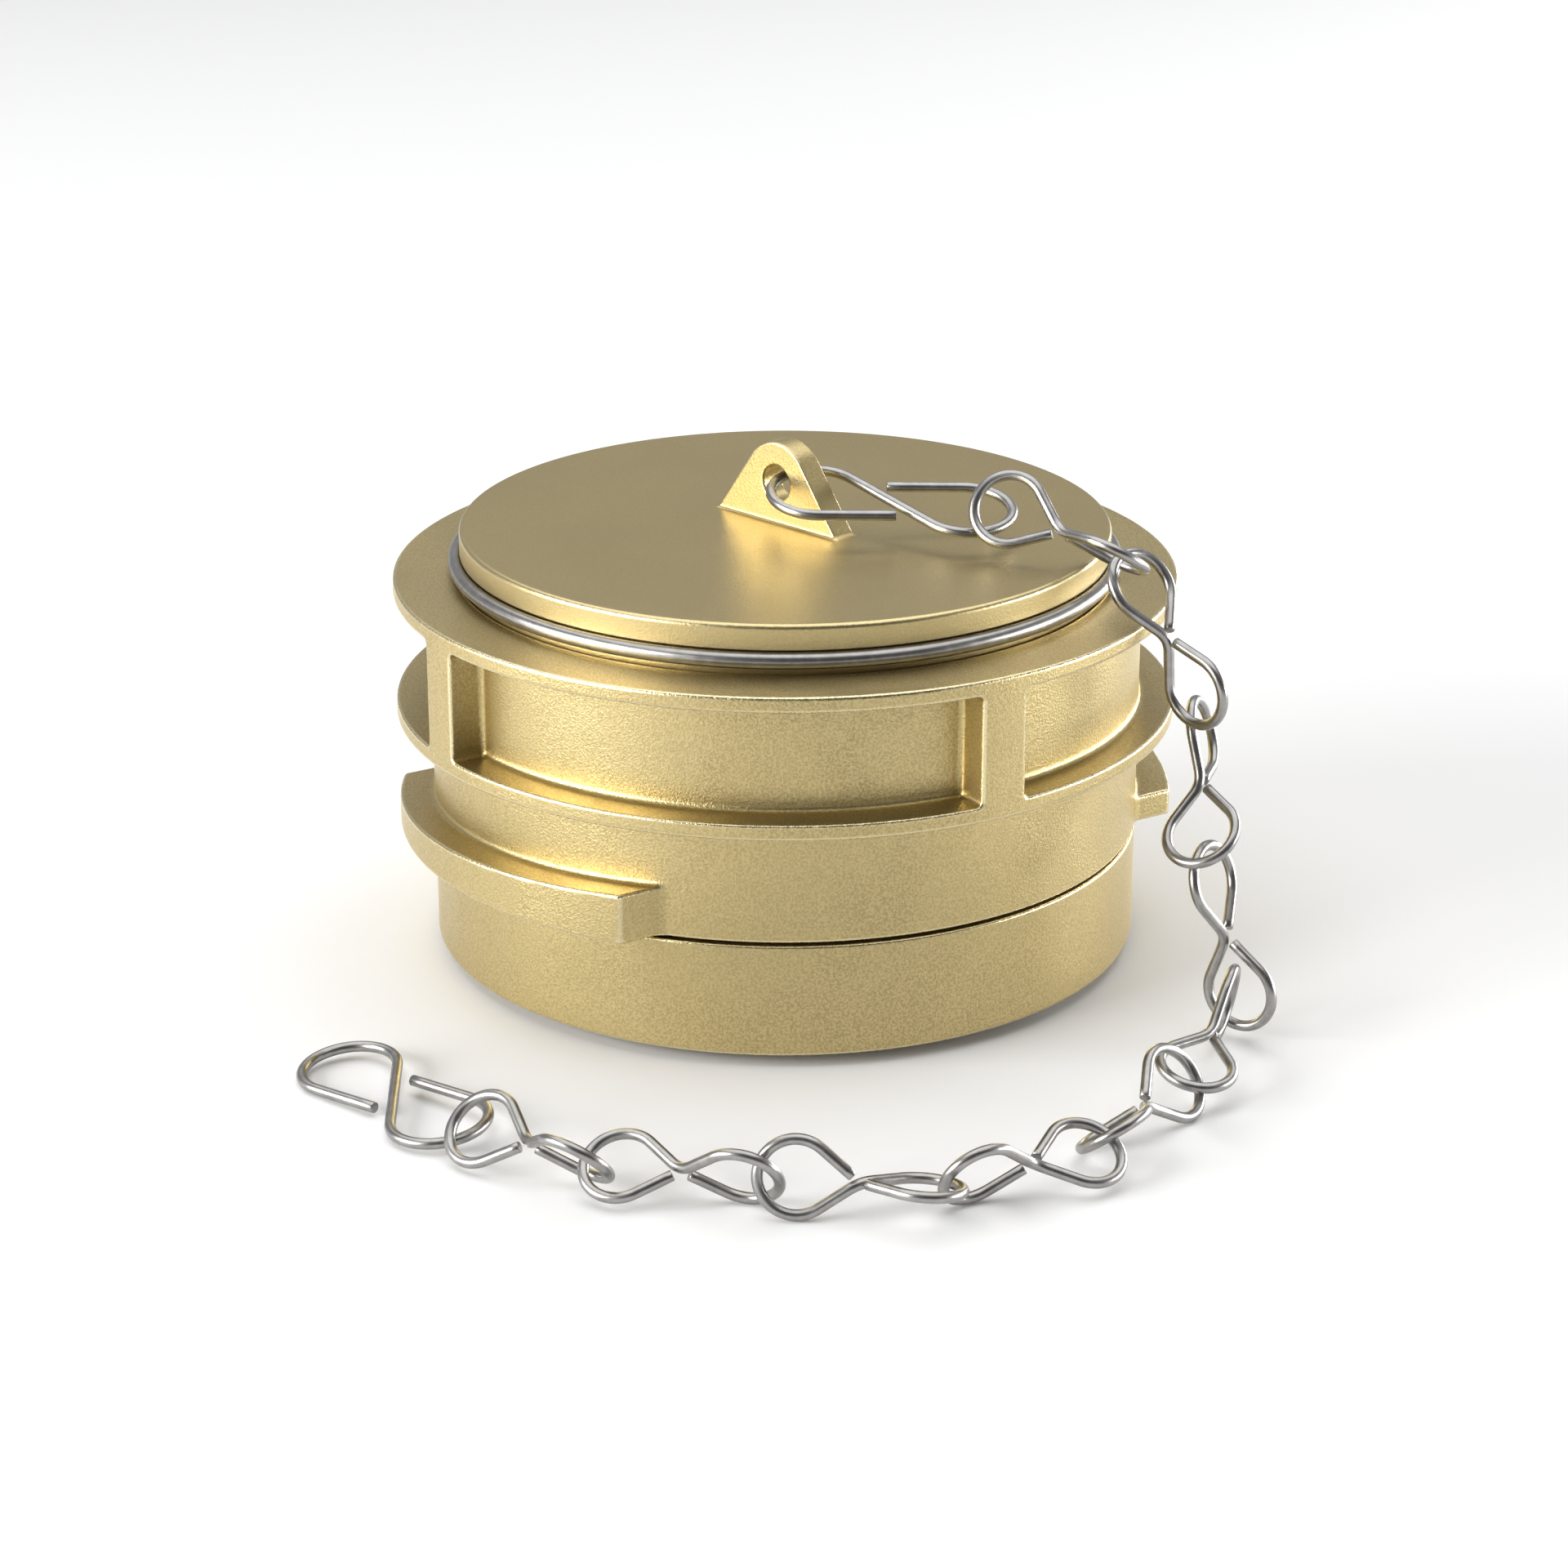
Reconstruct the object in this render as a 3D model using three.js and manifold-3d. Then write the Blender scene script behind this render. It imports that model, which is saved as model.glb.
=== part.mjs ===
// Blank cap for a hydrant outlet: a brass cap with a turning lug ring, a snap ring that keeps
// the lug ring on, a black face seal, and a twisted-wire chain with a hook at each end.
// Millimetres, +Z up. The cap stands on its seal at z = 0, centred on the Z axis.
// The plate of the chain ear lies along X.
import * as THREE from 'three';
import { mergeVertices, toCreasedNormals } from 'three/addons/utils/BufferGeometryUtils.js';
import Module from 'manifold-3d';

const wasm = await Module();
wasm.setup();

// ---- driving dimensions ----------------------------------------------------------------
const SEGMENTS = 72; // facets round every turned part
const GAP = 0.3; // smallest gap between two pieces

// cap body
const BASE_BOTTOM = 2.4; // the seal stands this far out of the brass
const BASE_TOP = 23.9; // top of the foot flange that the lug ring sits on
const BASE_RADIUS = 67.4;
const NECK_RADIUS = 61.4;
const DISC_TOP = 82.3;
const DISC_EDGE = 0.9; // rounding of the disc's top edge
const PLATE_THICKNESS = 8; // thickness of the disc over the hollow
const HOLLOW_RADIUS = 55;
const MOUTH_RADIUS = 50;
const MOUTH_TOP = 12; // height where the narrower mouth ends
const SMALL_EDGE = 0.5; // small rounding on cast edges

// face seal
const SEAL_INNER = 53;
const SEAL_OUTER = 62.3;
const SEAL_HEIGHT = 6;
const SEAL_EDGE = 1.0;

// snap ring
const SNAP_WIRE = 3; // wire diameter
const SNAP_RADIUS = 62.1; // centre line of the wire
const SNAP_Z = 76;
const SNAP_OPENING = 5; // width of the opening between its ends, in degrees
const SNAP_OPENING_AT = 134; // direction of the opening, in degrees from +X

// lug ring
const RING_BORE = 61.8;
const RING_BOTTOM = 24.5;
const RING_TOP = 73.4;
const BARREL_RADIUS = 67.4;
const RIM_RADIUS = 74;
const LOWER_RIM = [46.7, 49.7]; // bottom and top of the lower rim
const UPPER_RIM = [70.4, 73.4]; // bottom and top of the upper rim
const RIB_WIDTH = 9.2; // the four upright ribs between the rims
const RIB_COUNT = 4;
const RIB_AT = -104.4; // direction of the first rib, in degrees from +X
const POCKET_CORNER = 1.2; // corner radius of the pockets between the ribs
const LUG_HALF_WIDTH = 42.5;
const LUG_HIGH = 34.0; // top of the lug at its thick end
const LUG_LOW = 29.6; // top of the lug at its thin end

// chain ear
const EAR_HALF_LENGTH = 15.45;
const EAR_THICKNESS = 5;
const EAR_HOLE_HEIGHT = 7.85; // above the disc
const EAR_HOLE_RADIUS = 3.4;
const EAR_TOP_RADIUS = 7.8;
const EAR_EDGE = 0.5;
const EAR_FOOT = 1.4; // flare where the ear meets the disc

// chain
const WIRE = 2.0; // wire diameter of the links and hooks
const WIRE_SIDES = 8;
const LINK_LENGTH = 34.4; // along the wire's centre line, loop end to loop end
const LINK_LOOP_RADIUS = 6.5;
const LINK_TAIL_GAP = 1.6; // how far each cut end stops short of the crossing
const LINK_TWIST_BEND = 2.6; // length of the bend where the two loops meet
const HOOK_DIAGONAL = 11.1; // half the straight in the middle of the hook
const HOOK_RADIUS = 8.6;
const HOOK_SWEEP = 230.7; // degrees of arc at each end
const HOOK_TAIL = 14.2;

// Where the chain lies. Each piece: centre of the piece, then heading, rise and roll in degrees.
// It runs from the ear over the disc's edge, hangs beside the cap and curls along the floor.
const EAR_HOOK_AT = { at: [20.5, 7.2, 88.8], turn: [-94.6, -6.6, -10.1] };
const LINKS_AT = [
  { at: [54.3, 15.8, 88.3], turn: [16.9, -15.2, 57.8] },
  { at: [75.2, 22.1, 71.3], turn: [1.4, -52.5, -173.9] },
  { at: [83.4, 22.9, 45.1], turn: [-50.8, -35.2, 111.0] },
  { at: [93.8, 18.6, 19.2], turn: [6.4, -72.0, 176.9] },
  { at: [102.7, 3.5, 7.5], turn: [-65.1, -8.3, 79.5] },
  { at: [111.0, -25.4, 6.1], turn: [-79.7, -0.8, -52.9] },
  { at: [111.9, -56.1, 6.3], turn: [-106.4, 3.2, -27.7] },
  { at: [96.6, -82.1, 6.8], turn: [-139.9, 3.3, -167.2] },
  { at: [71.2, -98.8, 6.1], turn: [-153.0, -3.0, 59.5] },
  { at: [46.2, -110.5, 6.8], turn: [-175.5, -2.8, 47.3] },
];
const END_HOOK_AT = { at: [7.6, -107.3, 2.2], turn: [45.5, 5.3, 2.8] };

// ---- materials -------------------------------------------------------------------------
const BRASS = new THREE.MeshStandardMaterial({
  color: 0xc8b27a, roughness: 0.42, metalness: 1.0,
});
const STEEL = new THREE.MeshStandardMaterial({
  color: 0xb9babd, roughness: 0.28, metalness: 1.0,
});
const RUBBER = new THREE.MeshStandardMaterial({
  color: 0x1b1b1c, roughness: 0.85, metalness: 0.0,
});

const radians = THREE.MathUtils.degToRad;

// ---- helpers ---------------------------------------------------------------------------
// A closed solid from a geometry, with its faces pointing out.
function solidOf(geometry) {
  const bare = new THREE.BufferGeometry();
  bare.setAttribute('position', geometry.getAttribute('position'));
  if (geometry.index) bare.setIndex(geometry.index);
  const merged = mergeVertices(bare, 1e-4);
  const corners = merged.getAttribute('position').array;
  const source = merged.index.array;
  const faces = [];
  let volume = 0;
  for (let i = 0; i < source.length; i += 3) {
    const [a, b, c] = [source[i], source[i + 1], source[i + 2]];
    if (a === b || b === c || c === a) continue;
    faces.push(a, b, c);
    const p = new THREE.Vector3().fromArray(corners, 3 * a);
    const q = new THREE.Vector3().fromArray(corners, 3 * b);
    const r = new THREE.Vector3().fromArray(corners, 3 * c);
    volume += p.dot(q.cross(r)) / 6;
  }
  if (volume < 0) faces.reverse();
  const mesh = new wasm.Mesh({
    numProp: 3,
    vertProperties: new Float32Array(corners),
    triVerts: new Uint32Array(faces),
  });
  mesh.merge();
  return new wasm.Manifold(mesh);
}

// A named mesh from a closed solid.
function meshOf(name, solid, material) {
  const out = solid.getMesh();
  const geometry = new THREE.BufferGeometry();
  geometry.setAttribute('position', new THREE.BufferAttribute(out.vertProperties, 3));
  geometry.setIndex(new THREE.BufferAttribute(out.triVerts, 1));
  const mesh = new THREE.Mesh(toCreasedNormals(geometry, 0.6), material);
  mesh.name = name;
  return mesh;
}

// A turned solid from [radius, height] corners.
function turned(profile) {
  const points = profile.map(([radius, z]) => new THREE.Vector2(radius, z));
  const geometry = new THREE.LatheGeometry(points, SEGMENTS);
  geometry.rotateX(Math.PI / 2);
  return solidOf(geometry);
}

// Corners along an arc, from one angle to another in degrees.
function arc(x, y, radius, from, to, steps) {
  const points = [];
  for (let i = 0; i <= steps; i += 1) {
    const a = radians(from + ((to - from) * i) / steps);
    points.push([x + radius * Math.cos(a), y + radius * Math.sin(a)]);
  }
  return points;
}

// A flat outline pushed up along Z from one height to another.
function raised(shape, bottom, top) {
  const geometry = new THREE.ExtrudeGeometry(shape, {
    depth: top - bottom, bevelEnabled: false, curveSegments: 6,
  });
  geometry.translate(0, 0, bottom);
  return solidOf(geometry);
}

// A curve through points joined by straight steps.
class PointPath extends THREE.Curve {
  constructor(points) {
    super();
    this.points = points;
    this.at = [0];
    for (let i = 1; i < points.length; i += 1) {
      this.at.push(this.at[i - 1] + points[i].distanceTo(points[i - 1]));
    }
  }

  getPoint(t, target = new THREE.Vector3()) {
    const end = this.at[this.at.length - 1];
    const length = Math.min(Math.max(t, 0), 1) * end;
    let i = 1;
    while (i < this.at.length - 1 && this.at[i] < length) i += 1;
    const share = (length - this.at[i - 1]) / (this.at[i] - this.at[i - 1]);
    return target.lerpVectors(this.points[i - 1], this.points[i], share);
  }
}

// Round wire along a path, cut square at both ends.
function wire(points, diameter, sides, steps) {
  const section = new THREE.Shape();
  for (let i = 0; i < sides; i += 1) {
    const a = (2 * Math.PI * (i + 0.5)) / sides;
    const [x, y] = [Math.cos(a) * diameter * 0.5, Math.sin(a) * diameter * 0.5];
    if (i === 0) section.moveTo(x, y);
    else section.lineTo(x, y);
  }
  section.closePath();
  return solidOf(new THREE.ExtrudeGeometry(section, {
    steps, extrudePath: new PointPath(points), bevelEnabled: false,
  }));
}

// Turns a piece by its roll, rise and heading, then moves it to its centre.
function placed(solid, { at, turn: [heading, rise, roll] }) {
  const rolled = solid.rotate([roll, 0, 0]);
  const risen = rolled.rotate([0, -rise, 0]);
  return risen.rotate([0, 0, heading]).translate(at);
}

// ---- cap body --------------------------------------------------------------------------
function capShell() {
  const hollowTop = DISC_TOP - PLATE_THICKNESS;
  const seatTop = SEAL_HEIGHT + GAP;
  const grooveRadius = SNAP_WIRE / 2 + GAP;
  const grooveAngle = 180 - THREE.MathUtils.radToDeg(
    Math.acos((SNAP_RADIUS - NECK_RADIUS) / grooveRadius),
  );
  return turned([
    [0, hollowTop],
    [HOLLOW_RADIUS - 3, hollowTop],
    [HOLLOW_RADIUS, hollowTop - 3],
    [HOLLOW_RADIUS, MOUTH_TOP + HOLLOW_RADIUS - MOUTH_RADIUS],
    [MOUTH_RADIUS, MOUTH_TOP],
    [MOUTH_RADIUS, BASE_BOTTOM + 1],
    [MOUTH_RADIUS + 1, BASE_BOTTOM],
    [SEAL_INNER - GAP, BASE_BOTTOM],
    [SEAL_INNER - GAP, seatTop],
    [SEAL_OUTER + GAP, seatTop],
    [SEAL_OUTER + GAP, BASE_BOTTOM],
    [BASE_RADIUS - SMALL_EDGE, BASE_BOTTOM],
    [BASE_RADIUS, BASE_BOTTOM + SMALL_EDGE],
    [BASE_RADIUS, BASE_TOP - SMALL_EDGE],
    [BASE_RADIUS - SMALL_EDGE, BASE_TOP],
    [NECK_RADIUS, BASE_TOP],
    ...arc(SNAP_RADIUS, SNAP_Z, grooveRadius, 360 - grooveAngle, grooveAngle, 5),
    ...arc(NECK_RADIUS - DISC_EDGE, DISC_TOP - DISC_EDGE, DISC_EDGE, 0, 90, 3),
    [0, DISC_TOP],
  ]);
}

// The plate of the ear: straight sides that run into a round top about the hole.
function earPlate() {
  const reach = Math.hypot(EAR_HALF_LENGTH, EAR_HOLE_HEIGHT);
  const slope = Math.atan2(EAR_HOLE_HEIGHT, EAR_HALF_LENGTH)
    + Math.asin(EAR_TOP_RADIUS / reach);
  const shape = new THREE.Shape();
  shape.moveTo(-EAR_HALF_LENGTH, -2);
  shape.lineTo(EAR_HALF_LENGTH, -2);
  shape.lineTo(EAR_HALF_LENGTH, 0);
  const side = Math.PI / 2 - slope;
  shape.absarc(0, EAR_HOLE_HEIGHT, EAR_TOP_RADIUS, side, Math.PI - side, false);
  shape.lineTo(-EAR_HALF_LENGTH, 0);
  shape.closePath();
  const hole = new THREE.Path();
  hole.absarc(0, EAR_HOLE_HEIGHT, EAR_HOLE_RADIUS, 0, 2 * Math.PI, true);
  shape.holes.push(hole);
  const geometry = new THREE.ExtrudeGeometry(shape, {
    depth: EAR_THICKNESS - 2 * EAR_EDGE, curveSegments: 12,
    bevelSize: EAR_EDGE, bevelThickness: EAR_EDGE, bevelOffset: -EAR_EDGE, bevelSegments: 1,
  });
  geometry.translate(0, 0, EAR_EDGE - EAR_THICKNESS / 2);
  geometry.rotateX(Math.PI / 2);
  geometry.translate(0, 0, DISC_TOP);
  return solidOf(geometry);
}

// The flare where the ear grows out of the disc.
function earFoot() {
  const half = EAR_THICKNESS / 2;
  const foot = new THREE.Shape();
  foot.moveTo(-half - EAR_FOOT, -1);
  foot.lineTo(half + EAR_FOOT, -1);
  foot.lineTo(half + EAR_FOOT, 0.1);
  foot.lineTo(half - 0.2, EAR_FOOT);
  foot.lineTo(-half + 0.2, EAR_FOOT);
  foot.lineTo(-half - EAR_FOOT, 0.1);
  foot.closePath();
  const length = 2 * EAR_HALF_LENGTH;
  const geometry = new THREE.ExtrudeGeometry(foot, { depth: length, bevelEnabled: false });
  geometry.rotateX(Math.PI / 2);
  geometry.rotateZ(Math.PI / 2);
  geometry.translate(-length / 2, 0, DISC_TOP);
  return solidOf(geometry);
}

function capBody() {
  const solid = capShell().add(earPlate()).add(earFoot());
  return meshOf('cap_body', solid, BRASS);
}

function faceSeal() {
  const solid = turned([
    [SEAL_INNER + SEAL_EDGE, 0],
    [SEAL_OUTER - SEAL_EDGE, 0],
    [SEAL_OUTER, SEAL_EDGE],
    [SEAL_OUTER, SEAL_HEIGHT],
    [SEAL_INNER, SEAL_HEIGHT],
    [SEAL_INNER, SEAL_EDGE],
    [SEAL_INNER + SEAL_EDGE, 0],
  ]);
  return meshOf('face_seal', solid, RUBBER);
}

function snapRing() {
  const points = [];
  const from = SNAP_OPENING_AT + SNAP_OPENING / 2;
  const steps = SEGMENTS;
  for (let i = 0; i <= steps; i += 1) {
    const a = radians(from + ((360 - SNAP_OPENING) * i) / steps);
    const [x, y] = [SNAP_RADIUS * Math.cos(a), SNAP_RADIUS * Math.sin(a)];
    points.push(new THREE.Vector3(x, y, SNAP_Z));
  }
  return meshOf('snap_ring', wire(points, SNAP_WIRE, WIRE_SIDES, steps), STEEL);
}

// ---- lug ring --------------------------------------------------------------------------
function ringBlank() {
  const e = SMALL_EDGE;
  return turned([
    [RING_BORE, RING_BOTTOM + e],
    [RING_BORE + e, RING_BOTTOM],
    [RIM_RADIUS, RING_BOTTOM],
    [RIM_RADIUS, RING_TOP - e],
    [RIM_RADIUS - e, RING_TOP],
    [RING_BORE + e, RING_TOP],
    [RING_BORE, RING_TOP - e],
    [RING_BORE, RING_BOTTOM + e],
  ]);
}

// One pocket between two ribs: a block with round corners, cut down to the barrel.
function pocketCutter(direction) {
  const low = LOWER_RIM[1];
  const high = UPPER_RIM[0];
  const halfRib = RIB_WIDTH / 2;
  const r = POCKET_CORNER;
  const outer = RIM_RADIUS + 4;
  const quarter = new THREE.Shape();
  quarter.moveTo(halfRib, halfRib);
  quarter.lineTo(outer, halfRib);
  quarter.lineTo(outer, outer);
  quarter.lineTo(halfRib, outer);
  quarter.closePath();
  const inset = new THREE.Shape();
  inset.moveTo(halfRib + r, halfRib + r);
  inset.lineTo(outer, halfRib + r);
  inset.lineTo(outer, outer);
  inset.lineTo(halfRib + r, outer);
  inset.closePath();
  const block = raised(quarter, low + r, high - r)
    .add(raised(inset, low, high));
  return block.rotate([0, 0, direction]);
}

// What stays of the lower ring outside the barrel: two lugs with sloping tops.
function lugKeeper(turn) {
  const w = LUG_HALF_WIDTH;
  const side = new THREE.Shape();
  side.moveTo(-w, RING_BOTTOM - 1);
  side.lineTo(w, RING_BOTTOM - 1);
  side.lineTo(w, LUG_HIGH);
  side.lineTo(-w, LUG_LOW);
  side.closePath();
  const geometry = new THREE.ExtrudeGeometry(side, { depth: RIM_RADIUS + 2, bevelEnabled: false });
  geometry.rotateX(Math.PI / 2);
  return solidOf(geometry).rotate([0, 0, turn]);
}

function lugRing() {
  const barrel = turned([
    [0, RING_BOTTOM - 2], [BARREL_RADIUS, RING_BOTTOM - 2],
    [BARREL_RADIUS, RING_TOP + 2], [0, RING_TOP + 2],
  ]);
  const belowRim = turned([
    [0, RING_BOTTOM - 2], [RIM_RADIUS + 4, RING_BOTTOM - 2],
    [RIM_RADIUS + 4, LOWER_RIM[0]], [0, LOWER_RIM[0]],
  ]);
  const lugTurn = RIB_AT + 90;
  const lugs = lugKeeper(lugTurn).add(lugKeeper(lugTurn + 180));
  let solid = ringBlank().subtract(belowRim.subtract(barrel).subtract(lugs));
  for (let i = 0; i < RIB_COUNT; i += 1) {
    const cutter = pocketCutter(RIB_AT + (360 * i) / RIB_COUNT);
    solid = solid.subtract(cutter.subtract(barrel));
  }
  return meshOf('lug_ring', solid, BRASS);
}

// ---- chain -----------------------------------------------------------------------------
// Half a link, from the crossing round one loop to its cut end, as [along, across].
function linkHalf() {
  const r = LINK_LOOP_RADIUS;
  const centre = LINK_LENGTH / 2 - r;
  const slope = Math.asin(r / centre);
  const straight = Math.sqrt(centre * centre - r * r);
  const points = [];
  for (const t of [LINK_TWIST_BEND, (LINK_TWIST_BEND + straight) / 2]) {
    points.push([t * Math.cos(slope), t * Math.sin(slope)]);
  }
  const turnAngle = 90 + THREE.MathUtils.radToDeg(slope);
  points.push(...arc(centre, 0, r, turnAngle, -turnAngle, 20));
  const t = LINK_TAIL_GAP;
  points.push([t * Math.cos(slope), -t * Math.sin(slope)]);
  return points;
}

// A whole link: two loops in planes at right angles, joined by a smooth bend.
function linkPath() {
  const half = linkHalf();
  const first = half.map(([x, y]) => new THREE.Vector3(-x, y, 0)).reverse();
  const second = half.map(([x, y]) => new THREE.Vector3(x, 0, y));
  const start = first[first.length - 1];
  const end = second[0];
  const bend = new THREE.QuadraticBezierCurve3(start, new THREE.Vector3(), end);
  return [...first, ...bend.getPoints(6).slice(1, -1), ...second];
}

// A hook at rest in the XY plane: a straight, then an arc and a straight tail at each end.
function hookPath() {
  const half = [[0, HOOK_DIAGONAL / 2]];
  half.push(...arc(-HOOK_RADIUS, HOOK_DIAGONAL, HOOK_RADIUS, 0, HOOK_SWEEP, 26));
  const [x, y] = half[half.length - 1];
  const a = radians(HOOK_SWEEP);
  half.push([x - HOOK_TAIL * Math.sin(a), y + HOOK_TAIL * Math.cos(a)]);
  const second = half.map(([u, v]) => new THREE.Vector3(u, v, 0));
  const first = half.map(([u, v]) => new THREE.Vector3(-u, -v, 0)).reverse();
  return [...first, ...second];
}

function chain() {
  const link = wire(linkPath(), WIRE, WIRE_SIDES, 32);
  const hook = wire(hookPath(), WIRE, WIRE_SIDES, 44);
  const pieces = [meshOf('ear_hook', placed(hook, EAR_HOOK_AT), STEEL)];
  LINKS_AT.forEach((place, index) => {
    const name = `chain_link_${String(index + 1).padStart(2, '0')}`;
    pieces.push(meshOf(name, placed(link, place), STEEL));
  });
  pieces.push(meshOf('end_hook', placed(hook, END_HOOK_AT), STEEL));
  return pieces;
}

// ---- assembly --------------------------------------------------------------------------
const group = new THREE.Group();
group.name = 'hydrant_outlet_cap';
group.add(capBody(), faceSeal(), snapRing(), lugRing(), ...chain());

export default group;
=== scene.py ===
import math

import bpy
import numpy as np
from mathutils import Matrix, Vector


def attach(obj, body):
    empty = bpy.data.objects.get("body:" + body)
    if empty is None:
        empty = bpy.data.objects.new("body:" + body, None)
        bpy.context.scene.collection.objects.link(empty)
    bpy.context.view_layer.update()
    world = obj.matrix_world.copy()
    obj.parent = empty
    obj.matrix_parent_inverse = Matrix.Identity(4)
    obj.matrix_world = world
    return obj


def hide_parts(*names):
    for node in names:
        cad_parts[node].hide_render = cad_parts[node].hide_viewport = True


# Brass blank cap for a hydrant outlet: cap body with a chain ear, turning lug ring, snap ring,
# face seal, and a chain of twisted wire links with a hook at each end.
# Shapes are worked out in millimetres, and mesh_object turns them into metres.
# Materials and the studio are in metres, angles in degrees.

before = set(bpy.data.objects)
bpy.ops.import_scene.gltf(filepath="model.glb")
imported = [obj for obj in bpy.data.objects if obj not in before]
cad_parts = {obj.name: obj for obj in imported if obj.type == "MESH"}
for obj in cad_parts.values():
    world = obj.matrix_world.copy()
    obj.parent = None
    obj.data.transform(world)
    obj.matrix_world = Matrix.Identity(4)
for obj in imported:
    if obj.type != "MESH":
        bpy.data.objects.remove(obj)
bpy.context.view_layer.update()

MM = 0.001
EDGE = "edge"  # point attribute: 1 on rounded outer edges, -1 in inner corners, 0 elsewhere

# ---- sizes in millimetres ---------------------------------------------------------------
SEGMENTS = 288  # steps round every turned part
ROUND_STEPS = 5  # steps in each rounded corner of an outline
HOLD = 0.05  # a line of points this far beyond each rounding keeps the faces beside it flat
SMALL_EDGE = 0.3  # rounding of corners that hardly show

BASE_BOTTOM = 2.4
BASE_TOP = 23.9
BASE_RADIUS = 67.4
NECK_RADIUS = 61.4
DISC_TOP = 82.3
DISC_THICKNESS = 8.0
HOLLOW_RADIUS = 55.0
MOUTH_RADIUS = 50.0
MOUTH_TOP = 12.0
HOLLOW_FILLET = 3.0
MOUTH_FILLET = 1.5
MOUTH_EDGE = 1.0
BASE_LOWER_EDGE = 0.7
BASE_UPPER_EDGE = 0.5
DISC_EDGE = 0.9

SEAL_INNER = 53.0
SEAL_OUTER = 62.3
SEAL_HEIGHT = 6.0
SEAL_EDGE = 1.0  # rounding of the seal where it stands on the floor
FIT = 0.3  # gap round the seal and the snap ring

SNAP_WIRE = 3.0
SNAP_RADIUS = 62.1
SNAP_Z = 76.0
SNAP_OPENING = 5.0  # degrees
SNAP_OPENING_AT = 134.0  # degrees
SNAP_SIDES = 24
SNAP_CHAMFER = 0.2
GROOVE_STEPS = 8
GROOVE_EDGE = 0.2

RING_BORE = 61.8
RING_BOTTOM = 24.5
RING_TOP = 73.4
BARREL_RADIUS = 67.4
RIM_RADIUS = 74.0
BAND_BOTTOM = 46.7
POCKET_BOTTOM = 49.7
POCKET_TOP = 70.4
RIB_WIDTH = 9.2
RIB_AT = -104.4  # degrees
LUG_HALF_WIDTH = 42.5
LUG_HIGH = 34.0  # heights of the two ends of a lug's sloping top
LUG_LOW = 29.6
RING_EDGE = 0.55  # rounding of outer edges
BORE_EDGE = 0.15  # rounding of the edges of the bore
RING_FILLET = 1.1  # rounding of inner corners
RING_CELL = 0.5  # cell size of the grid that the ring is made in
RING_MARGIN = 1.1  # room round the ring in that grid

EAR_HALF_LENGTH = 15.45
EAR_THICKNESS = 5.0
EAR_HOLE_HEIGHT = 7.85  # above the disc
EAR_HOLE_RADIUS = 3.4
EAR_TOP_RADIUS = 7.8
EAR_EDGE = 0.35
EAR_FOOT = 0.7  # fillet between the ear and the disc
EAR_FLARE = (2.5, 2.0)  # how far the fillet may run out, along and across the ear
EAR_ROOT = 0.6  # depth of the ear's foot inside the disc
EAR_SINK = 0.004  # the fillet runs out this far below the disc's top, clear of its plane
EAR_CELL = 0.3  # cell size of the grid that the ear is made in
EAR_MARGIN = (0.9, 0.9, 0.7)  # room round the ear in that grid

WIRE = 2.0
WIRE_SIDES = 20
WIRE_CHAMFER = 0.12
LINK_LENGTH = 34.4  # between the far ends of its loops, on the middle line of the wire
LINK_LOOP_RADIUS = 6.5
LINK_TAIL_GAP = 1.6  # from the link's centre to the wire's ends
LINK_TWIST_BEND = 2.6  # from the link's centre to where the twist begins
LINK_LOOP_STEPS = 48
LINK_TWIST_STEPS = 12
HOOK_DIAGONAL = 11.1  # half of the straight in the middle
HOOK_RADIUS = 8.6
HOOK_SWEEP = 230.7  # degrees of each arc
HOOK_TAIL = 14.2
HOOK_LOOP_STEPS = 60
STRAIGHT_STEPS = 5  # steps in each straight stretch of a link or hook

# Where the chain lies: centre of each piece, then heading, rise and roll in degrees.
CHAIN_AT = {
    "ear_hook": ((20.5, 7.2, 88.8), (-94.6, -6.6, -10.1)),
    "chain_link_01": ((54.3, 15.8, 88.3), (16.9, -15.2, 57.8)),
    "chain_link_02": ((75.2, 22.1, 71.3), (1.4, -52.5, -173.9)),
    "chain_link_03": ((83.4, 22.9, 45.1), (-50.8, -35.2, 111.0)),
    "chain_link_04": ((93.8, 18.6, 19.2), (6.4, -72.0, 176.9)),
    "chain_link_05": ((102.7, 3.5, 7.5), (-65.1, -8.3, 79.5)),
    "chain_link_06": ((111.0, -25.4, 6.1), (-79.7, -0.8, -52.9)),
    "chain_link_07": ((111.9, -56.1, 6.3), (-106.4, 3.2, -27.7)),
    "chain_link_08": ((96.6, -82.1, 6.8), (-139.9, 3.3, -167.2)),
    "chain_link_09": ((71.2, -98.8, 6.1), (-153.0, -3.0, 59.5)),
    "chain_link_10": ((46.2, -110.5, 6.8), (-175.5, -2.8, 47.3)),
    "end_hook": ((7.6, -107.3, 2.2), (45.5, 5.3, 2.8)),
}


# ---- meshes -----------------------------------------------------------------------------
SIDEWAYS = (0.31, 0.17, 0.93)  # no wire starts in this direction
UV_LENGTH = 40  # millimetres of wire in one unit of V


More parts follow.
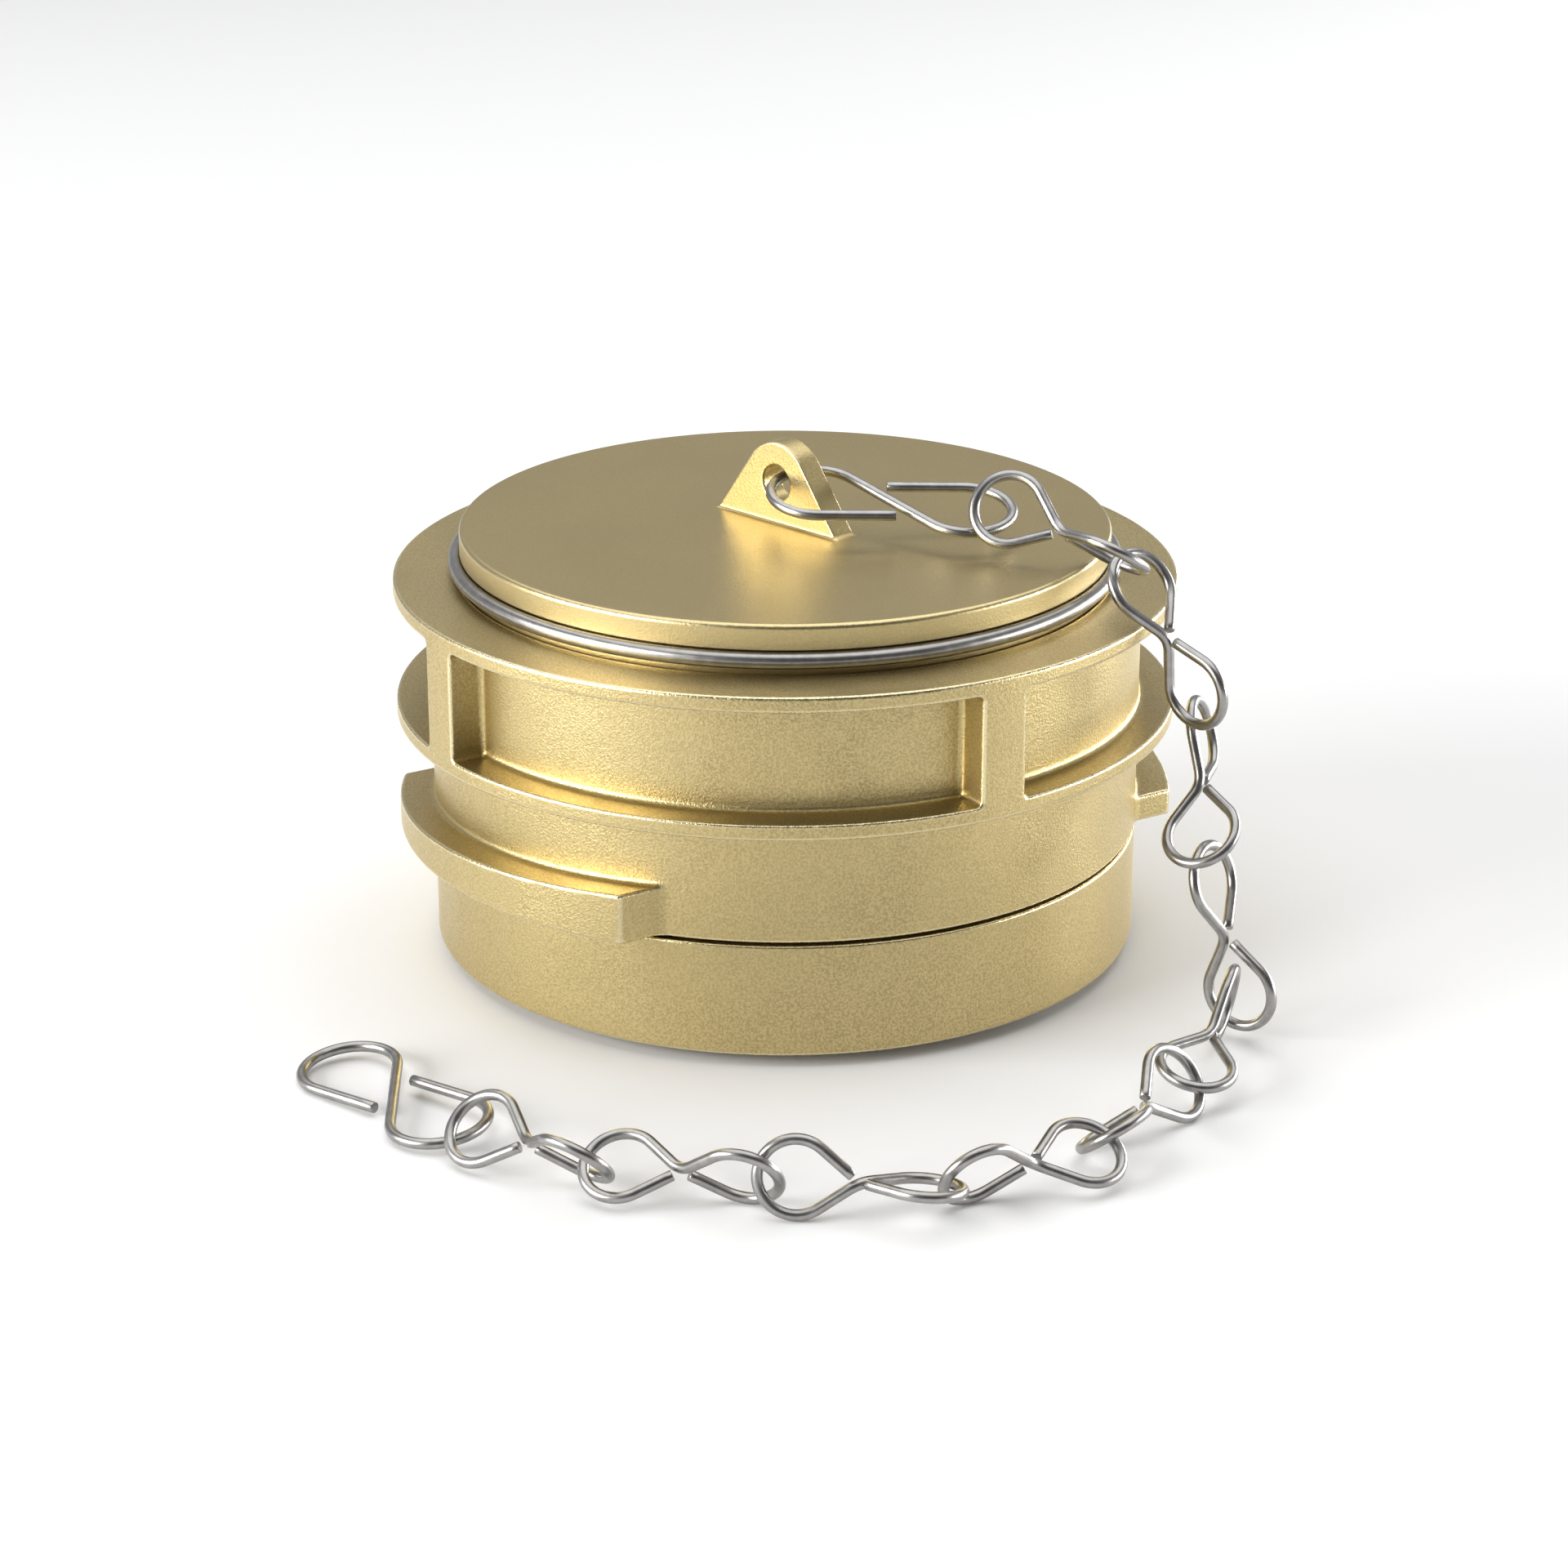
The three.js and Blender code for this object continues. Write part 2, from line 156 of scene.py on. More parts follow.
def mesh_object(name, points, faces, edge=None, normals=None):
    """A smooth-shaded mesh object from points in millimetres."""
    mesh = bpy.data.meshes.new(name)
    mesh.from_pydata((np.asarray(points, float) * MM).tolist(), [], faces)
    mesh.polygons.foreach_set("use_smooth", [True] * len(mesh.polygons))
    values = np.zeros(len(points)) if edge is None else np.asarray(edge, float)
    attribute = mesh.attributes.new(EDGE, "FLOAT", "POINT")
    attribute.data.foreach_set("value", values.astype(np.float32))
    mesh.update()
    if normals is not None:
        mesh.normals_split_custom_set_from_vertices(normals.tolist())
    obj = bpy.data.objects.new(name, mesh)
    bpy.context.scene.collection.objects.link(obj)
    return obj


def circle(x, y, radius, start, end, steps):
    """Points [x, y] along an arc, angles in degrees."""
    return [[x + radius * math.cos(a), y + radius * math.sin(a)]
            for a in np.radians(np.linspace(start, end, steps + 1))]


def rounded(profile):
    """Points and edge values of a closed (radius, height, rounding) outline."""
    points, edge = [], []
    count = len(profile)
    turn = sum(profile[i][0] * profile[(i + 1) % count][1]
               - profile[(i + 1) % count][0] * profile[i][1] for i in range(count))
    for i, (x, z, radius) in enumerate(profile):
        here = np.array([x, z])
        back = np.array(profile[i - 1][:2]) - here
        on = np.array(profile[(i + 1) % count][:2]) - here
        if radius == 0:
            points.append(here)
            edge.append(0.0)
            continue
        back, on = back / np.linalg.norm(back), on / np.linalg.norm(on)
        half = math.acos(np.clip(back @ on, -1, 1)) / 2
        reach = radius / math.tan(half)
        middle = back + on
        centre = here + middle / np.linalg.norm(middle) * radius / math.sin(half)
        convex = (on[0] * back[1] - on[1] * back[0]) * turn > 0
        first, last = here + back * reach - centre, here + on * reach - centre
        arc = math.pi - 2 * half
        points.append(here + back * (reach + HOLD))
        edge.append(0.0)
        for share in np.linspace(0, 1, ROUND_STEPS + 1):
            a = math.sin((1 - share) * arc) / math.sin(arc)
            b = math.sin(share * arc) / math.sin(arc)
            points.append(centre + a * first + b * last)
            edge.append((1 if convex else -1) * math.sqrt(1 - abs(2 * share - 1)))
        points.append(here + on * (reach + HOLD))
        edge.append(0.0)
    return np.array(points), np.array(edge)


def turned(name, profile):
    """A body turned round Z from a closed outline that may touch the axis."""
    outline, edge = rounded(profile)
    angles = np.linspace(0, 2 * math.pi, SEGMENTS, endpoint=False)
    points, marks, rows = [], [], []
    for (radius, z), mark in zip(outline, edge):
        if radius == 0:
            rows.append([len(points)] * SEGMENTS)
            points.append([0, 0, z])
            marks.append(mark)
            continue
        rows.append(list(range(len(points), len(points) + SEGMENTS)))
        points.extend(np.stack([radius * np.cos(angles), radius * np.sin(angles),
                                np.full(SEGMENTS, z)], 1).tolist())
        marks.extend([mark] * SEGMENTS)
    faces = []
    for low, high in zip(rows, rows[1:] + rows[:1]):
        if low[0] == low[1] and high[0] == high[1]:
            continue
        for j in range(SEGMENTS):
            k = (j + 1) % SEGMENTS
            face = [low[j], low[k], high[k], high[j]]
            faces.append([v for i, v in enumerate(face) if v != face[i - 1]])
    return mesh_object(name, points, faces, marks)


def wire(name, path, diameter, sides, chamfer):
    """Round wire along a path, cut square at both ends with a narrow chamfer.

    Its UV map has the turn round the wire in U and the distance along it in V.
    """
    path = np.asarray(path, float)
    step = np.diff(path, axis=0)
    lengths = np.linalg.norm(step, axis=1)
    step /= lengths[:, None]
    tangent = np.vstack([step[:1], step[:-1] + step[1:], step[-1:]])
    tangent /= np.linalg.norm(tangent, axis=1)[:, None]
    side = np.cross(tangent[0], SIDEWAYS)
    side /= np.linalg.norm(side)
    radius = diameter / 2
    start, end = path[0], path[-1]
    rings = [(start, radius - chamfer), (start + tangent[0] * chamfer, radius)]
    rings += [(p, radius) for p in path[1:-1]]
    rings += [(end - tangent[-1] * chamfer, radius), (end, radius - chamfer)]
    along = np.vstack([tangent[:1], tangent[:1], tangent[1:-1], tangent[-1:], tangent[-1:]])
    angles = np.linspace(0, 2 * math.pi, sides, endpoint=False)
    points = []
    for (centre, size), direction in zip(rings, along):
        side = side - direction * (side @ direction)
        side /= np.linalg.norm(side)
        up = np.cross(direction, side)
        points.append(centre + size * (np.cos(angles)[:, None] * side
                                       + np.sin(angles)[:, None] * up))
    points = np.vstack(points)
    faces = []
    for i in range(len(rings) - 1):
        for j in range(sides):
            k = (j + 1) % sides
            faces.append([i * sides + j, i * sides + k, (i + 1) * sides + k, (i + 1) * sides + j])
    last = (len(rings) - 1) * sides
    faces.append(list(range(sides - 1, -1, -1)))
    faces.append(list(range(last, last + sides)))
    obj = mesh_object(name, points, faces)
    obj.data.polygons[len(faces) - 1].use_smooth = False
    obj.data.polygons[len(faces) - 2].use_smooth = False
    ends = [lengths.sum() - chamfer, lengths.sum()]
    run = np.concatenate([[0, chamfer], np.cumsum(lengths)[:-1], ends])
    loops = np.zeros(len(obj.data.loops), int)
    obj.data.loops.foreach_get("vertex_index", loops)
    ring, turn = loops // sides, loops % sides
    # Corners 1 and 2 of the last face in each ring are back at the start: their U is 1, not 0.
    wrap = np.zeros(len(loops))
    quads = (len(rings) - 1) * sides * 4
    wrap[:quads] = (turn[:quads] == 0) & np.isin(np.arange(quads) % 4, [1, 2])
    layer = obj.data.uv_layers.new(name="along")
    layer.data.foreach_set("uv", np.stack([turn / sides + wrap, run[ring] / UV_LENGTH], 1).ravel())
    return obj


# ---- shapes from distance functions -----------------------------------------------------
SLOPE_STEP = 0.02  # half the distance over which a slope is measured
EDGE_STEP = 0.5  # how far to look for an edge
SETTLE_ROUNDS = 4  # how often the points are moved onto the surface
LEAST_STEEPNESS = 0.25  # keeps a point from jumping where the distance hardly changes


def both(a, b, rounding=0.0):
    """Distance to where both shapes are, with the edge between them rounded."""
    corner = np.hypot(np.maximum(a + rounding, 0), np.maximum(b + rounding, 0))
    return np.minimum(-rounding, np.maximum(a, b)) + corner


def either(a, b, rounding=0.0):
    """Distance to where one shape or the other is, with the inner corner filled."""
    corner = np.hypot(np.maximum(rounding - a, 0), np.maximum(rounding - b, 0))
    return np.maximum(rounding, np.minimum(a, b)) - corner


def skin(name, distance, place, shape, wraps, reach):
    """The zero surface of a distance function, with one point in each grid cell that it crosses.

    place turns grid numbers into points, wraps closes the first axis into a circle, and reach
    is the rounding whose bend counts as a full edge.
    """
    index = np.stack(np.meshgrid(*[np.arange(n) for n in shape], indexing="ij"), -1)
    value = distance(place(index.reshape(-1, 3))).reshape(shape)
    total = value.size
    sums, counts, quads = np.zeros((total, 3)), np.zeros(total), []
    for axis in range(3):
        crossed = (value < 0) != (np.roll(value, -1, axis) < 0)
        if not (wraps and axis == 0):
            crossed[tuple(-1 if a == axis else slice(None) for a in range(3))] = False
        here = np.argwhere(crossed)
        there = here.copy()
        there[:, axis] = (there[:, axis] + 1) % shape[axis]
        a, b = value[tuple(here.T)], value[tuple(there.T)]
        start, end = place(here), place(there)
        point = start + (end - start) * (a / (a - b))[:, None]
        u, v = (axis + 1) % 3, (axis + 2) % 3
        corners = []
        for du, dv in ((0, 0), (-1, 0), (-1, -1), (0, -1)):
            cell = here.copy()
            cell[:, u] += du
            cell[:, v] += dv
            cell %= shape
            flat = np.ravel_multi_index(cell.T, shape)
            corners.append(flat)
            counts += np.bincount(flat, minlength=total)
            for k in range(3):
                sums[:, k] += np.bincount(flat, point[:, k], total)
        quad = np.stack(corners, 1)
        quad[a > 0] = quad[a > 0][:, ::-1]
        quads.append(quad)
    used = np.flatnonzero(counts)
    number = np.full(total, -1)
    number[used] = np.arange(len(used))
    points = sums[used] / counts[used][:, None]
    for _ in range(SETTLE_ROUNDS):
        slope = np.stack([distance(points + step) - distance(points - step)
                          for step in np.eye(3) * SLOPE_STEP], 1) / (2 * SLOPE_STEP)
        steep = np.maximum((slope ** 2).sum(1), LEAST_STEEPNESS)
        points -= slope * (distance(points) / steep)[:, None]
    normals = slope / np.linalg.norm(slope, axis=1)[:, None]
    bend = sum(distance(points + step) + distance(points - step) - 2 * distance(points)
               for step in np.eye(3) * EDGE_STEP)
    edge = np.clip(bend / EDGE_STEP ** 2 * reach, -1, 1)
    return mesh_object(name, points, number[np.vstack(quads)].tolist(), edge, normals)


def lug_ring_distance(points):
    """Distance to the lug ring: barrel, rims round four pockets, and two lugs below them."""
    x, y, z = points.T
    r = np.hypot(x, y)
    turn = math.radians(RIB_AT)
    out = x * math.cos(turn) + y * math.sin(turn)
    across = y * math.cos(turn) - x * math.sin(turn)
    middle, half = (POCKET_TOP + POCKET_BOTTOM) / 2, (POCKET_TOP - POCKET_BOTTOM) / 2
    off_rib = RIB_WIDTH / 2 - np.minimum(np.abs(out), np.abs(across))
    pocket = both(np.abs(z - middle) - half, off_rib, RING_FILLET)
    band = both(r - RIM_RADIUS, BAND_BOTTOM - z, RING_EDGE)
    band = both(band, -pocket, RING_EDGE)
    along = across * np.sign(out)
    rise = (LUG_HIGH - LUG_LOW) / (2 * LUG_HALF_WIDTH)
    top = (z - LUG_LOW - rise * (along + LUG_HALF_WIDTH)) / math.hypot(1, rise)
    lugs = both(both(r - RIM_RADIUS, top, RING_EDGE), np.abs(along) - LUG_HALF_WIDTH, RING_EDGE)
    shape = either(r - BARREL_RADIUS, band, RING_FILLET)
    shape = either(shape, lugs, RING_FILLET)
    shape = both(shape, z - RING_TOP, RING_EDGE)
    shape = both(shape, RING_BOTTOM - z, RING_EDGE)
    return both(shape, RING_BORE - r, BORE_EDGE)


def lug_ring():
    around = int(2 * math.pi * RIM_RADIUS / RING_CELL)
    radii = np.arange(RING_BORE - RING_MARGIN, RIM_RADIUS + RING_MARGIN, RING_CELL)
    heights = np.arange(RING_BOTTOM - RING_MARGIN, RING_TOP + RING_MARGIN, RING_CELL)

    def place(index):
        angle = index[:, 0] * (2 * math.pi / around)
        r = radii[index[:, 2]]
        return np.stack([r * np.cos(angle), r * np.sin(angle), heights[index[:, 1]]], 1)

    shape = (around, len(heights), len(radii))
    return skin("lug_ring_looks", lug_ring_distance, place, shape, True, RING_EDGE)


def ear_distance(points):
    """Distance to the chain ear: a plate with a round top and a hole, and its foot in the disc."""
    x, y, z = points.T
    z = z - DISC_TOP
    reach = math.hypot(EAR_HALF_LENGTH, EAR_HOLE_HEIGHT)
    slope = math.atan2(EAR_HOLE_HEIGHT, EAR_HALF_LENGTH) + math.asin(EAR_TOP_RADIUS / reach)
    normal = math.pi / 2 - slope
    side = (np.abs(x) - EAR_HALF_LENGTH) * math.cos(normal) + z * math.sin(normal)
    from_hole = np.hypot(x, z - EAR_HOLE_HEIGHT)
    round_top = np.arctan2(z - EAR_HOLE_HEIGHT, np.abs(x)) > normal
    outline = np.where(round_top, from_hole - EAR_TOP_RADIUS, side)
    plate = both(outline, np.abs(y) - EAR_THICKNESS / 2, EAR_EDGE)
    plate = both(plate, EAR_HOLE_RADIUS - from_hole, EAR_EDGE)
    shape = either(plate, z + EAR_SINK, EAR_FOOT)
    shape = both(shape, np.abs(x) - EAR_HALF_LENGTH - EAR_FLARE[0])
    shape = both(shape, np.abs(y) - EAR_THICKNESS / 2 - EAR_FLARE[1])
    return both(shape, -EAR_ROOT - z)


def ear():
    long, wide = EAR_HALF_LENGTH + EAR_FLARE[0], EAR_THICKNESS / 2 + EAR_FLARE[1]
    low = np.array([-long, -wide, DISC_TOP - EAR_ROOT]) - EAR_MARGIN
    high = np.array([long, wide, DISC_TOP + EAR_HOLE_HEIGHT + EAR_TOP_RADIUS]) + EAR_MARGIN
    shape = tuple(int(n) for n in (high - low) / EAR_CELL)

    def place(index):
        return low + index * EAR_CELL

    return skin("ear_looks", ear_distance, place, shape, False, EAR_EDGE)


# ---- shapes of the pieces ---------------------------------------------------------------
def cap_body():
    hollow_top = DISC_TOP - DISC_THICKNESS
    groove = SNAP_WIRE / 2 + FIT
    # The groove's circle crosses the neck at dip above and below its middle, at lip degrees.
    dip = math.sqrt(groove ** 2 - (SNAP_RADIUS - NECK_RADIUS) ** 2)
    lip = 180 - math.degrees(math.atan2(dip, SNAP_RADIUS - NECK_RADIUS))
    inside = circle(SNAP_RADIUS, SNAP_Z, groove, -lip, lip - 360, GROOVE_STEPS)[1:-1]
    profile = [
        (0, hollow_top, 0), (HOLLOW_RADIUS, hollow_top, HOLLOW_FILLET),
        (HOLLOW_RADIUS, MOUTH_TOP + HOLLOW_RADIUS - MOUTH_RADIUS, MOUTH_FILLET),
        (MOUTH_RADIUS, MOUTH_TOP, MOUTH_EDGE), (MOUTH_RADIUS, BASE_BOTTOM, MOUTH_EDGE),
        (SEAL_INNER - FIT, BASE_BOTTOM, SMALL_EDGE),
        (SEAL_INNER - FIT, SEAL_HEIGHT + FIT, SMALL_EDGE),
        (SEAL_OUTER + FIT, SEAL_HEIGHT + FIT, SMALL_EDGE),
        (SEAL_OUTER + FIT, BASE_BOTTOM, SMALL_EDGE),
        (BASE_RADIUS, BASE_BOTTOM, BASE_LOWER_EDGE), (BASE_RADIUS, BASE_TOP, BASE_UPPER_EDGE),
        (NECK_RADIUS, BASE_TOP, SMALL_EDGE), (NECK_RADIUS, SNAP_Z - dip, GROOVE_EDGE),
        *[(x, z, 0) for x, z in inside],
        (NECK_RADIUS, SNAP_Z + dip, GROOVE_EDGE), (NECK_RADIUS, DISC_TOP, DISC_EDGE),
        (0, DISC_TOP, 0),
    ]
    body = turned("cap_body_looks", profile)
    handle = ear()
    with bpy.context.temp_override(active_object=body, selected_editable_objects=[body, handle]):
        bpy.ops.object.join()
    return body


def face_seal():
    return turned("face_seal_looks", [
        (SEAL_INNER, 0, SEAL_EDGE), (SEAL_INNER, SEAL_HEIGHT, SMALL_EDGE),
        (SEAL_OUTER, SEAL_HEIGHT, SMALL_EDGE), (SEAL_OUTER, 0, SEAL_EDGE),
    ])


def snap_ring():
    start = SNAP_OPENING_AT + SNAP_OPENING / 2
    arc = circle(0, 0, SNAP_RADIUS, start, start + 360 - SNAP_OPENING, SEGMENTS)
    path = [[x, y, SNAP_Z] for x, y in arc]
    return wire("snap_ring_looks", path, SNAP_WIRE, SNAP_SIDES, SNAP_CHAMFER)


def link_path():
    """Two loops of one wire in planes at right angles, with a smooth twist between them."""
    r = LINK_LOOP_RADIUS
    centre = LINK_LENGTH / 2 - r
    slope = math.asin(r / centre)
    straight = math.sqrt(centre * centre - r * r)
    out = np.linspace(LINK_TWIST_BEND, straight, STRAIGHT_STEPS + 1)[:-1]
    back = np.linspace(straight, LINK_TAIL_GAP, STRAIGHT_STEPS + 1)[1:]
    turn = 90 + math.degrees(slope)
    half = [[t * math.cos(slope), t * math.sin(slope)] for t in out]
    half += circle(centre, 0, r, turn, -turn, LINK_LOOP_STEPS)
    half += [[t * math.cos(slope), -t * math.sin(slope)] for t in back]
    first = [np.array([-x, y, 0]) for x, y in half][::-1]
    second = [np.array([x, 0, y]) for x, y in half]
    bend = [(1 - t) ** 2 * first[-1] + t ** 2 * second[0]
            for t in np.linspace(0, 1, LINK_TWIST_STEPS + 1)[1:-1]]
    return np.array(first + bend + second)


def hook_path():
    """A straight in the middle, then an arc and a straight tail at each end."""
    half = [[0, t] for t in np.linspace(0, HOOK_DIAGONAL, STRAIGHT_STEPS + 1)[1:-1]]
    half += circle(-HOOK_RADIUS, HOOK_DIAGONAL, HOOK_RADIUS, 0, HOOK_SWEEP, HOOK_LOOP_STEPS)
    x, y = half[-1]
    a = math.radians(HOOK_SWEEP)
    half += [[x - t * math.sin(a), y + t * math.cos(a)]
             for t in np.linspace(0, HOOK_TAIL, STRAIGHT_STEPS + 1)[1:]]
    second = [np.array([u, v, 0]) for u, v in half]
    first = [-p for p in second][::-1]
    return np.array(first + [np.zeros(3)] + second)


def chain_piece(name):
    at, (heading, rise, roll) = CHAIN_AT[name]
    turn = (Matrix.Rotation(math.radians(heading), 3, "Z")
            @ Matrix.Rotation(-math.radians(rise), 3, "Y")
            @ Matrix.Rotation(math.radians(roll), 3, "X"))
    path = hook_path() if name.endswith("hook") else link_path()
    path = path @ np.array(turn).T + np.array(at)
    return wire(name + "_looks", path, WIRE, WIRE_SIDES, WIRE_CHAMFER)


# ---- materials --------------------------------------------------------------------------
MIX_A, MIX_B, MIX_RESULT = 6, 7, 2  # the colour sockets of a Mix node

# Noise scales, for places in metres.
CAST_PATCHES = 45
CAST_GRAIN = 2300
WIRE_SCUFFS = 420
RUBBER_CLOUD = 150
RUBBER_GRAIN = 2400
FLOOR_CLOUD = 0.5

# The drawing lines' scale on a wire's UV map: close together round it, long along it.
LINE_STRETCH = (60, 3, 1)

# The values of a noise or of the edge attribute between which a finish changes; on brass edges
# that includes a painted highlight and a painted shade.
PATCH_RANGE = (0.42, 0.62)
GRAIN_RANGE = (0.38, 0.62)
WORN_HIGHLIGHT_RANGE = (0.2, 0.8)
CORNER_SHADE_RANGE = (0.2, 1)
LINE_RANGE = (0.3, 0.7)
SCUFF_RANGE = (0.5, 0.75)
MIDDLE_RANGE = (0.35, 0.65)
WIDE_RANGE = (0.3, 0.7)

# Colours, as linear red, green and blue.
BRASS_LIGHT = (0.585, 0.473, 0.234)
BRASS_DARK = (0.425, 0.337, 0.16)
# Edge wear, made lighter still as a painted highlight along the rounded outer edges.
BRASS_WORN_HIGHLIGHT = (0.78, 0.67, 0.405)
# Painted shade for inner corners.
BRASS_CORNER_SHADE = (0.50, 0.38, 0.15)
STEEL_DARK = (0.32, 0.312, 0.30)
STEEL_LIGHT = (0.38, 0.372, 0.36)
RUBBER_DARK = (0.012, 0.012, 0.013)
RUBBER_LIGHT = (0.025, 0.024, 0.024)
FLOOR_DARK = (0.76, 0.76, 0.76)
FLOOR_LIGHT = (0.78, 0.78, 0.78)

# Roughness, from one end of its noise to the other.
BRASS_ROUGH = (0.33, 0.38)
PATCH_ROUGH = 0.04  # added in the coarser patches
WORN_SMOOTH = 0.1  # taken away on the edges that carry the wear and the painted highlight
STEEL_ROUGH = (0.29, 0.34)
SCUFF_ROUGH = 0.04
RUBBER_ROUGH = (0.6, 0.8)
FLOOR_ROUGH = 0.9

# Depths of relief, in metres.
CAP_RELIEF = 0.00006
RING_RELIEF = 0.00011
LINE_RELIEF = 0.000003
SCUFF_RELIEF = 0.000004
RUBBER_RELIEF = 0.00004

SMOOTH_ABOVE = (0.03, 0.06)  # heights between which the finish gets smoother
CAP_TOP_SHARE = 0.3  # share of the cap's grain, and of its edge wear with painted highlight, that is left on its disc and ear
SMOOTH_SPECKLE = 0.4  # even speckle where no grain is left
FINE_GRAIN = 0.75  # strength of the grain outside the coarser patches


class Nodes:
    """Short ways to build a material's node tree."""

    def __init__(self, name):
        self.material = bpy.data.materials.new(name)
        self.material.use_nodes = True
        self.tree = self.material.node_tree
        self.shader = self.tree.nodes["Principled BSDF"]

    def add(self, kind, **settings):
        node = self.tree.nodes.new(kind)
        for key, value in settings.items():
            setattr(node, key, value)
        return node

    def join(self, source, target):
        self.tree.links.new(source, target)

    def noise(self, scale, detail=2.0, roughness=0.5, stretch=None, uv=False):
        where = self.add("ShaderNodeTexCoord").outputs["UV" if uv else "Object"]
        if stretch:
            mapping = self.add("ShaderNodeMapping")
            mapping.inputs["Scale"].default_value = stretch
            self.join(where, mapping.inputs["Vector"])
            where = mapping.outputs["Vector"]
        node = self.add("ShaderNodeTexNoise")
        node.inputs["Scale"].default_value = scale
        node.inputs["Detail"].default_value = detail
        node.inputs["Roughness"].default_value = roughness
        self.join(where, node.inputs["Vector"])
        return node.outputs["Fac"]

    def span(self, value, given, wanted=(0, 1)):
        """Turn one range of values into another, with a soft start and end."""
        node = self.add("ShaderNodeMapRange", interpolation_type="SMOOTHSTEP")
        for name, number in zip(("From Min", "From Max", "To Min", "To Max"), (*given, *wanted)):
            node.inputs[name].default_value = number
        self.join(value, node.inputs["Value"])
        return node.outputs["Result"]

    def maths(self, kind, a, b):
        node = self.add("ShaderNodeMath", operation=kind)
        for socket, item in zip(node.inputs, (a, b)):
            if isinstance(item, (int, float)):
                socket.default_value = item
            else:
                self.join(item, socket)
        return node.outputs["Value"]

    def blend(self, share, a, b):
        node = self.add("ShaderNodeMix", data_type="RGBA")
        self.join(share, node.inputs["Factor"])
        for socket, item in ((node.inputs[MIX_A], a), (node.inputs[MIX_B], b)):
            if isinstance(item, tuple):
                socket.default_value = (*item, 1)
            else:
                self.join(item, socket)
        return node.outputs[MIX_RESULT]

    def height(self):
        parts = self.add("ShaderNodeSeparateXYZ")
        self.join(self.add("ShaderNodeTexCoord").outputs["Object"], parts.inputs["Vector"])
        return parts.outputs["Z"]

    def attribute(self, name):
        return self.add("ShaderNodeAttribute", attribute_name=name).outputs["Fac"]

    def bump(self, height, depth, below=None):
        node = self.add("ShaderNodeBump")
        node.inputs["Strength"].default_value = 1
        node.inputs["Distance"].default_value = depth
        self.join(height, node.inputs["Height"])
        if below is not None:
            self.join(below, node.inputs["Normal"])
        return node.outputs["Normal"]


def brass(name, relief, top_share):
    """Satin cast brass with fine grain, coarser in patches, brighter edges from wear that also
    carry a painted highlight, and painted shade in inner corners.

    Of the grain and of the edge wear with its painted highlight, top_share is left on the smoother
    upper part.
    """
    n = Nodes(name)
    share = n.span(n.height(), SMOOTH_ABOVE, (1, top_share))
    patch = n.span(n.noise(CAST_PATCHES, detail=3), PATCH_RANGE)
    patch = n.maths("MULTIPLY", patch, share)
    strength = n.span(patch, (0, 1), (FINE_GRAIN, 1))
    grain = n.noise(CAST_GRAIN, detail=2, roughness=0.65)
    speckle = n.maths("MULTIPLY", n.span(grain, GRAIN_RANGE), strength)
    speckle = n.maths("MULTIPLY", speckle, share)
    speckle = n.maths("ADD", speckle, n.span(share, (0, 1), (SMOOTH_SPECKLE, 0)))
    # Edge wear on rounded outer edges, lightened past plain wear into a painted highlight.
    worn_highlight = n.maths("MULTIPLY", n.span(n.attribute(EDGE), WORN_HIGHLIGHT_RANGE), share)
    # Painted shade: inner corners, where the edge attribute is below zero, are darkened.
    corner_shade = n.span(n.maths("MULTIPLY", n.attribute(EDGE), -1), CORNER_SHADE_RANGE)
    colour = n.blend(speckle, BRASS_LIGHT, BRASS_DARK)
    colour = n.blend(worn_highlight, colour, BRASS_WORN_HIGHLIGHT)
    colour = n.blend(corner_shade, colour, BRASS_CORNER_SHADE)
    n.join(colour, n.shader.inputs["Base Color"])
    n.shader.inputs["Metallic"].default_value = 1
    rough = n.span(grain, MIDDLE_RANGE, BRASS_ROUGH)
    rough = n.maths("ADD", rough, n.maths("MULTIPLY", patch, PATCH_ROUGH))
    rough = n.maths("SUBTRACT", rough, n.maths("MULTIPLY", worn_highlight, WORN_SMOOTH))
    n.join(rough, n.shader.inputs["Roughness"])
    n.join(n.bump(n.maths("MULTIPLY", grain, strength), relief), n.shader.inputs["Normal"])
    return n.material


def steel(name):
    """Drawn stainless wire: fine lines along the wire and small scuffs."""
    n = Nodes(name)
    lines = n.noise(1, detail=3, roughness=0.6, stretch=LINE_STRETCH, uv=True)
    scuffs = n.noise(WIRE_SCUFFS, detail=3, roughness=0.6)
    colour = n.blend(n.span(scuffs, MIDDLE_RANGE), STEEL_DARK, STEEL_LIGHT)
    n.join(colour, n.shader.inputs["Base Color"])
    n.shader.inputs["Metallic"].default_value = 1
    rough = n.span(lines, LINE_RANGE, STEEL_ROUGH)
    rough = n.maths("ADD", rough, n.span(scuffs, SCUFF_RANGE, (0, SCUFF_ROUGH)))
    n.join(rough, n.shader.inputs["Roughness"])
    normal = n.bump(lines, LINE_RELIEF, below=n.bump(scuffs, SCUFF_RELIEF))
    n.join(normal, n.shader.inputs["Normal"])
    return n.material


def rubber(name):
    """Matt black moulded rubber."""
    n = Nodes(name)
    cloud = n.noise(RUBBER_CLOUD, detail=3)
    colour = n.blend(n.span(cloud, MIDDLE_RANGE), RUBBER_DARK, RUBBER_LIGHT)
    n.join(colour, n.shader.inputs["Base Color"])
    n.join(n.span(cloud, WIDE_RANGE, RUBBER_ROUGH), n.shader.inputs["Roughness"])
    n.join(n.bump(n.noise(RUBBER_GRAIN), RUBBER_RELIEF), n.shader.inputs["Normal"])
    return n.material


